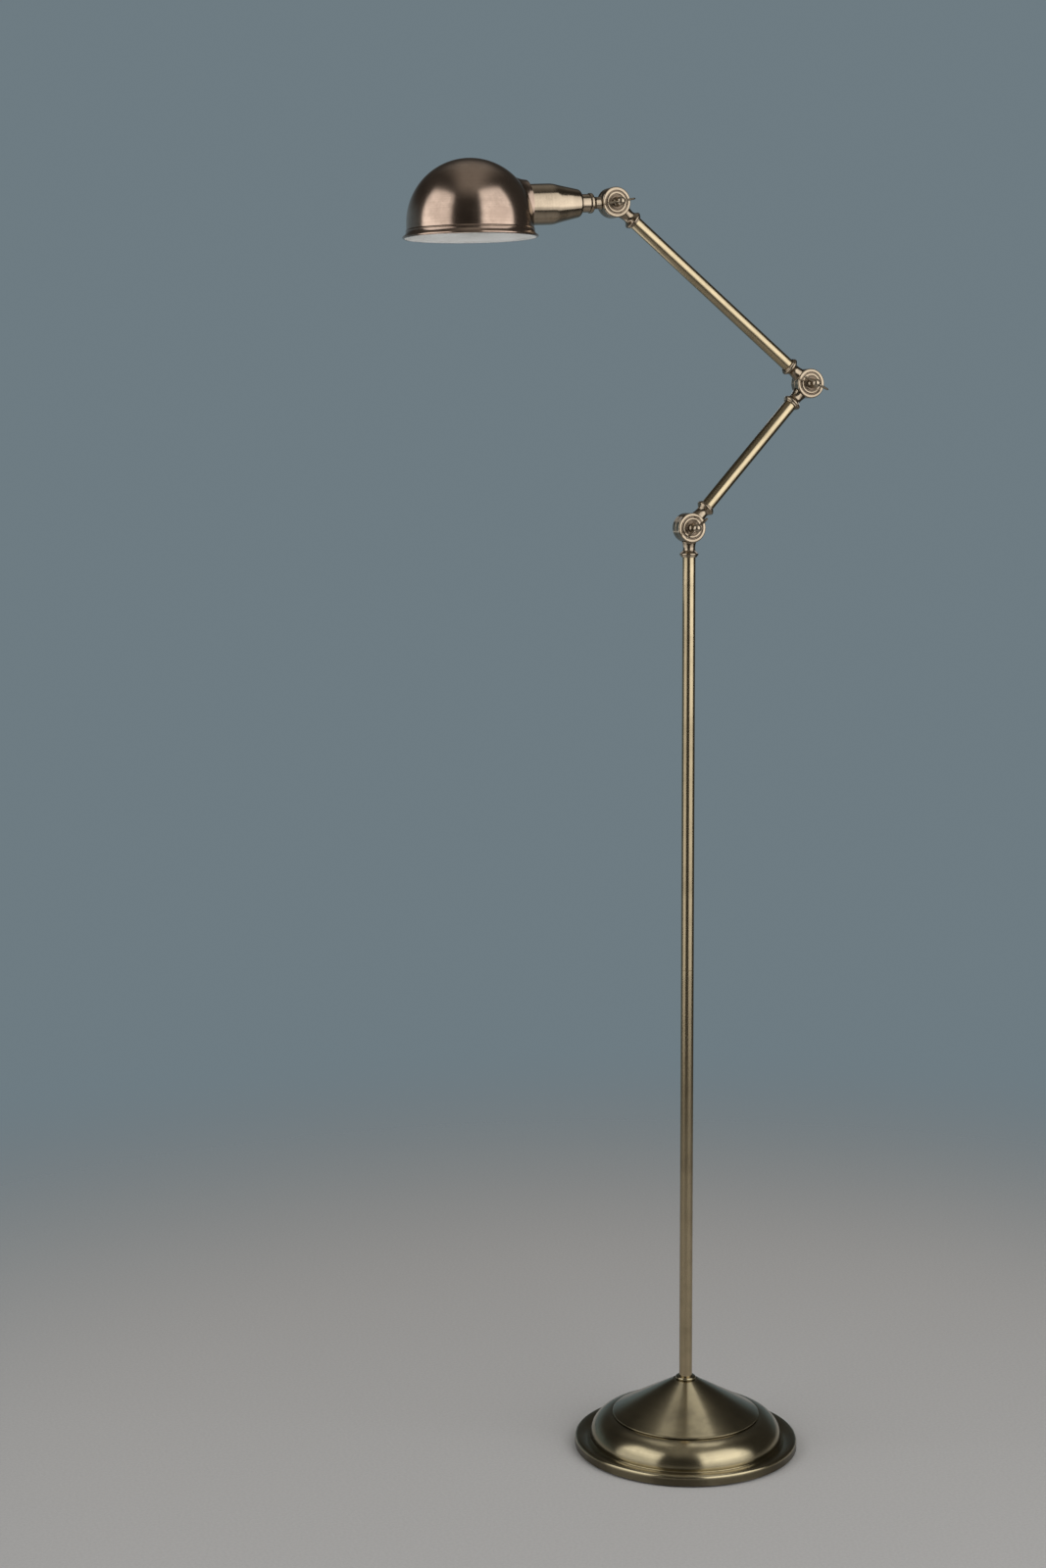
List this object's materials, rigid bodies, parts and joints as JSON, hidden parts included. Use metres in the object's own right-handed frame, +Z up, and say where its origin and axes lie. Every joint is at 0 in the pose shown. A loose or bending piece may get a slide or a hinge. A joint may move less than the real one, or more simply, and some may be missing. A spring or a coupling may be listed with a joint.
{
  "type": "adjustable arm floor lamp",
  "caption": "Floor lamp in antiqued brass: weighted stepped base, slim pole, folding arms on friction knuckles with wing screws, and a bowl shade on a side-mounted lampholder.",
  "frame": {"origin": "on the floor at the middle of the base's underside", "axes": "+Z up the pole; the arms swing in the XZ plane with the shade towards -X; the wing screws face -Y"},
  "size_m": [0.4931, 0.2512, 1.433],
  "materials": {
    "rubber_pad": "matt black",
    "cast_iron": "rough black",
    "zinc_steel": "zinc plated",
    "antique_brass_base": "spun, antiqued and lacquered, fine circular lines",
    "antique_brass_tube": "antiqued and lacquered, smooth",
    "antique_brass_knuckle": "antiqued, darker in the grooves",
    "antique_bronze_shade": "antiqued bronze tone outside; the shade is white enamel inside",
    "cord_rubber": "matt black",
    "holder_plastic": "moulded black",
    "contact_brass": "bright",
    "white_plastic": "white",
    "opal_glass": "opal white",
    "cap_metal": "plain"
  },
  "bodies": {
    "base": {"base_pad": "rubber_pad", "base_weight": "cast_iron", "base_nut": "zinc_steel", "base_washer": "zinc_steel", "base_nipple": "zinc_steel", "base_cover": "antique_brass_base", "cord_grommet": "cord_rubber", "base_cone": "antique_brass_base", "cone_collar": "antique_brass_base", "pole_foot": "zinc_steel", "lower_pole": "antique_brass_tube", "pole_coupler": "antique_brass_tube", "upper_pole": "antique_brass_tube", "pole_knuckle": "antique_brass_knuckle", "lower_washer": "zinc_steel", "lower_nut": "zinc_steel"},
    "lower_arm": {"lower_arm_knuckle_a": "antique_brass_knuckle", "lower_face_washer": "antique_brass_knuckle", "lower_arm_tube": "antique_brass_tube", "lower_arm_knuckle_b": "antique_brass_knuckle", "elbow_washer": "zinc_steel", "elbow_nut": "zinc_steel"},
    "upper_arm": {"upper_arm_knuckle_a": "antique_brass_knuckle", "elbow_face_washer": "antique_brass_knuckle", "upper_arm_tube": "antique_brass_tube", "upper_arm_knuckle_b": "antique_brass_knuckle", "head_face_washer": "antique_brass_knuckle"},
    "head": {"head_knuckle": "antique_brass_knuckle", "head_washer": "zinc_steel", "head_nut": "zinc_steel", "head_collar": "antique_brass_knuckle", "socket_housing": "antique_bronze_shade", "housing_nut": "zinc_steel", "lampholder": "holder_plastic", "screw_shell": "contact_brass", "centre_contact": "contact_brass", "shade_ring": "white_plastic", "shade": "antique_bronze_shade", "bulb_globe": "opal_glass", "bulb_cap": "cap_metal"},
    "lower_screw": {"lower_wing_screw": "antique_brass_knuckle"},
    "elbow_screw": {"elbow_wing_screw": "antique_brass_knuckle"},
    "head_screw": {"head_wing_screw": "antique_brass_knuckle"}
  },
  "joints": [
    {"name": "lower_tilt", "type": "hinge", "parent": "base", "child": "lower_arm", "pos_m": [0, 0, 1.0385], "axis": [0, 1, 0], "range_deg": [-85, 60]},
    {"name": "elbow", "type": "hinge", "parent": "lower_arm", "child": "upper_arm", "pos_m": [0.14625, 0, 1.19922], "axis": [0, 1, 0], "range_deg": [-28, 90]},
    {"name": "head_tilt", "type": "hinge", "parent": "upper_arm", "child": "head", "pos_m": [-0.09211, 0, 1.39223], "axis": [0, -1, 0], "range_deg": [-60, 80]},
    {"name": "lower_screw_turn", "type": "hinge", "parent": "base", "child": "lower_screw", "pos_m": [0, 0, 1.0385], "axis": [0, -1, 0], "range_deg": [0, 180]},
    {"name": "elbow_screw_turn", "type": "hinge", "parent": "lower_arm", "child": "elbow_screw", "pos_m": [0.14625, 0, 1.19922], "axis": [0, -1, 0], "range_deg": [0, 180]},
    {"name": "head_screw_turn", "type": "hinge", "parent": "head", "child": "head_screw", "pos_m": [-0.09211, 0, 1.39223], "axis": [0, -1, 0], "range_deg": [0, 180]}
  ]
}
